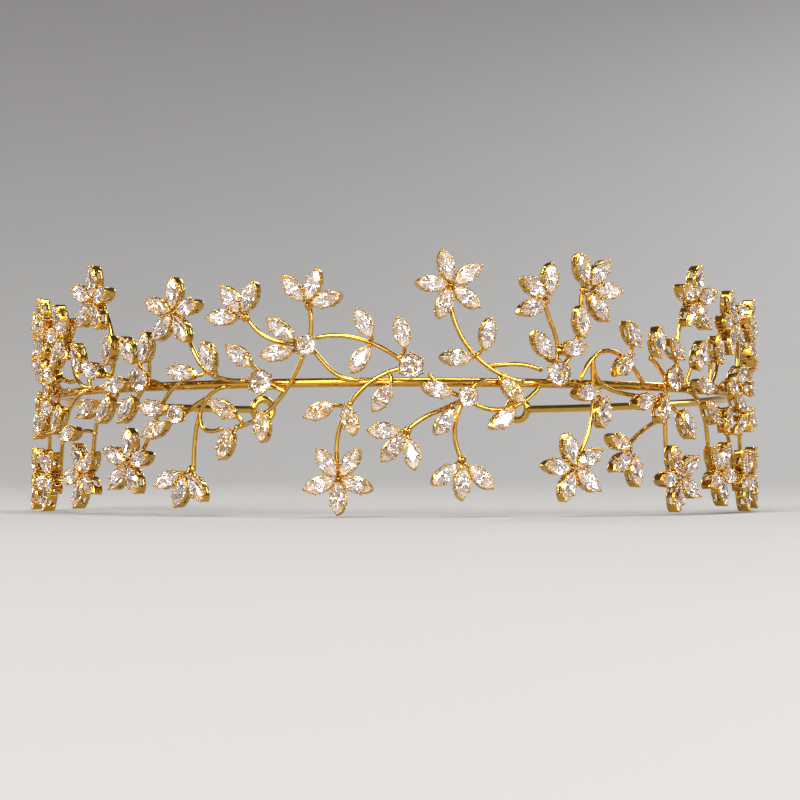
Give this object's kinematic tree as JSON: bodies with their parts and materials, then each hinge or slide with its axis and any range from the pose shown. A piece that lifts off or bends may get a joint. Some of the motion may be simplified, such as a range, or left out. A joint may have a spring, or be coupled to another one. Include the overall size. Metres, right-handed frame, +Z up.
{
  "type": "crystal tiara",
  "caption": "Headband tiara: an open gold-tone band wire with end eyelets carries sprays of flowers and leaves of pointed-oval and round crystals in claw settings.",
  "frame": {"origin": "middle of the outline seen from above, on the level surface that the tiara rests on", "axes": "+Z up, -Y towards the front of the band, +Y towards its open back, +X to the right as seen from the front"},
  "size_m": [0.162, 0.1512, 0.0525],
  "materials": {
    "band_wire": "polished gold plating",
    "gold_settings": "polished gold plating",
    "pointed_crystals": "clear cut crystal",
    "round_crystals": "clear cut crystal"
  },
  "bodies": {
    "root": {"band": "band_wire", "left_end_spray": "gold_settings", "left_rear_spray": "gold_settings", "left_back_low_spray": "gold_settings", "left_back_high_spray": "gold_settings", "left_hanging_spray": "gold_settings", "left_high_spray": "gold_settings", "left_side_spray": "gold_settings", "left_drop_spray": "gold_settings", "front_left_flower_spray": "gold_settings", "front_left_trefoils_spray": "gold_settings", "front_left_low_spray": "gold_settings", "front_vine_spray": "gold_settings", "front_low_spray": "gold_settings", "front_top_spray": "gold_settings", "front_right_high_spray": "gold_settings", "front_right_vine_spray": "gold_settings", "right_side_spray": "gold_settings", "right_high_spray": "gold_settings", "right_back_low_spray": "gold_settings", "right_back_high_spray": "gold_settings", "right_end_spray": "gold_settings", "left_end_stones": "pointed_crystals", "left_rear_stones": "pointed_crystals", "left_back_low_stones": "pointed_crystals", "left_back_high_stones": "pointed_crystals", "left_hanging_stones": "pointed_crystals", "left_high_stones": "pointed_crystals", "left_side_stones": "pointed_crystals", "left_drop_stones": "pointed_crystals", "front_left_flower_stones": "pointed_crystals", "front_left_trefoils_stones": "pointed_crystals", "front_left_low_stones": "pointed_crystals", "front_vine_stones": "pointed_crystals", "front_low_stones": "pointed_crystals", "front_top_stones": "pointed_crystals", "front_right_high_stones": "pointed_crystals", "front_right_vine_stones": "pointed_crystals", "right_side_stones": "pointed_crystals", "right_high_stones": "pointed_crystals", "right_back_low_stones": "pointed_crystals", "right_back_high_stones": "pointed_crystals", "right_end_stones": "pointed_crystals", "round_stone_1": "round_crystals", "round_stone_2": "round_crystals", "round_stone_3": "round_crystals", "round_stone_4": "round_crystals", "round_stone_5": "round_crystals", "round_stone_6": "round_crystals", "round_stone_7": "round_crystals", "round_stone_8": "round_crystals", "round_stone_9": "round_crystals", "round_stone_10": "round_crystals", "round_stone_11": "round_crystals", "round_stone_12": "round_crystals"}
  },
  "joints": []
}
